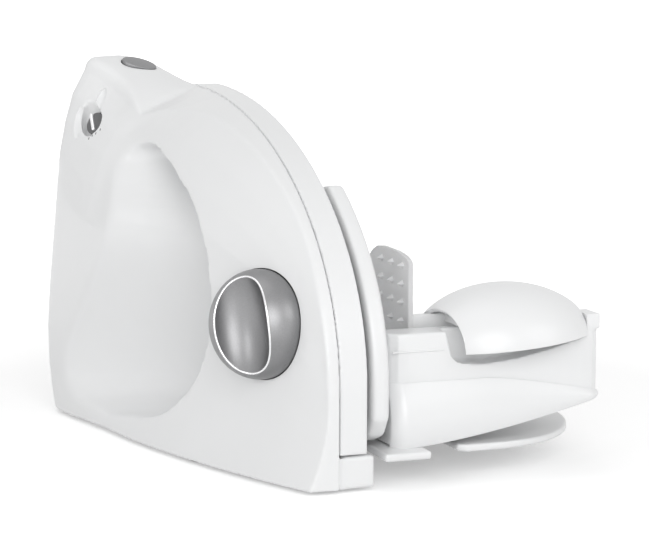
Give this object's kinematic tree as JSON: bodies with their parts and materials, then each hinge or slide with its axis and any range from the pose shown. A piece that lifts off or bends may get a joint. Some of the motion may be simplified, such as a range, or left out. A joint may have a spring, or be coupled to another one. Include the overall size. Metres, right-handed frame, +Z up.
{
  "type": "food slicer",
  "caption": "Electric food slicer: white sail-shaped housing with round blade, fence set by a scooped knob, and a sliding food carriage with a domed pusher.",
  "frame": {"origin": "middle of the bounding box on the table, below the feet", "axes": "+X from the motor side towards the food carriage, +Y away from the operator, +Z up"},
  "size_m": [0.2648, 0.2938, 0.228],
  "materials": {
    "white_gloss": "moulded, high gloss",
    "white_satin": "moulded, satin",
    "silver_lacquer": "silver lacquered plastic",
    "dark_plastic": "dark, satin",
    "polished_steel": "ground and polished",
    "foot_rubber": "soft, matt",
    "gear_nylon": "natural nylon",
    "winding_copper": "enamelled copper winding",
    "motor_iron": "laminated iron",
    "bush_bronze": "sintered bronze"
  },
  "bodies": {
    "housing": {"motor_housing": "white_gloss", "blade_housing": "white_gloss", "gear_cover": "white_gloss", "base_plate": "white_gloss", "suction_foot_1": "foot_rubber", "suction_foot_2": "foot_rubber", "suction_foot_3": "foot_rubber", "suction_foot_4": "foot_rubber", "blade_bush_rear": "bush_bronze", "blade_bush_front": "bush_bronze", "idler_bush": "bush_bronze", "fence_bush_low": "bush_bronze", "fence_bush_high": "bush_bronze", "motor_bush_top": "bush_bronze", "motor_bush_low": "bush_bronze", "gearbox_bracket": "white_satin", "stator": "motor_iron", "brush_left": "dark_plastic", "brush_right": "dark_plastic", "knob_base": "dark_plastic", "main_switch": "dark_plastic", "cord_gland": "dark_plastic"},
    "blade_group": {"blade": "polished_steel", "blade_shaft": "polished_steel", "blade_hub": "white_satin", "blade_lock": "white_satin", "blade_gear": "gear_nylon"},
    "idler": {"idler_shaft": "polished_steel", "pinion": "gear_nylon", "worm_wheel": "gear_nylon"},
    "motor_rotor": {"rotor": "winding_copper", "motor_shaft": "polished_steel", "worm": "polished_steel", "fan": "dark_plastic", "commutator": "winding_copper"},
    "knob": {"thickness_knob": "silver_lacquer", "knob_spindle": "polished_steel"},
    "fence": {"fence": "white_gloss"},
    "button": {"main_button": "silver_lacquer"},
    "selector": {"speed_selector": "silver_lacquer"},
    "carriage": {"carriage": "white_gloss"},
    "pusher": {"pusher_hood": "white_gloss", "spike_plate": "white_satin"}
  },
  "joints": [
    {"name": "blade_spin", "type": "hinge", "parent": "housing", "child": "blade_group", "pos_m": [-0.00592, 0.02415, 0.1005], "axis": [1, 0, 0], "continuous": true},
    {"name": "idler_spin", "type": "hinge", "parent": "housing", "child": "idler", "pos_m": [-0.02712, 0.06653, 0.12303], "axis": [1, 0, 0], "continuous": true},
    {"name": "motor_spin", "type": "hinge", "parent": "housing", "child": "motor_rotor", "pos_m": [-0.06812, 0.09453, 0.12303], "axis": [0, 0, 1], "continuous": true},
    {"name": "knob_turn", "type": "hinge", "parent": "housing", "child": "knob", "pos_m": [-0.06891, -0.09235, 0.0905], "axis": [-0.8983, -0.4323, 0.0785], "range_deg": [0, 270]},
    {"name": "fence_slide", "type": "slide", "parent": "housing", "child": "fence", "axis": [1, 0, 0], "range_m": [-0.015, 0]},
    {"name": "button_press", "type": "slide", "parent": "housing", "child": "button", "axis": [0.2184, -0.3789, 0.8993], "range_m": [-0.0028, 0], "stiffness_N_per_m": 400, "springref_m": 0.001},
    {"name": "selector_turn", "type": "hinge", "parent": "housing", "child": "selector", "pos_m": [-0.10829, 0.11105, 0.1882], "axis": [-0.8323, -0.3654, 0.4169], "range_deg": [0, 90]},
    {"name": "carriage_slide", "type": "slide", "parent": "housing", "child": "carriage", "axis": [0, 1, 0], "range_m": [0, 0.13]},
    {"name": "pusher_slide", "type": "slide", "parent": "carriage", "child": "pusher", "axis": [1, 0, 0], "range_m": [-0.015, 0]}
  ],
  "couplings": [
    {"joint": "blade_spin", "follows": "motor_spin", "ratio": 0.010145},
    {"joint": "idler_spin", "follows": "motor_spin", "ratio": -0.033333},
    {"joint": "fence_slide", "follows": "knob_turn", "m_per_rad": -0.003183}
  ]
}
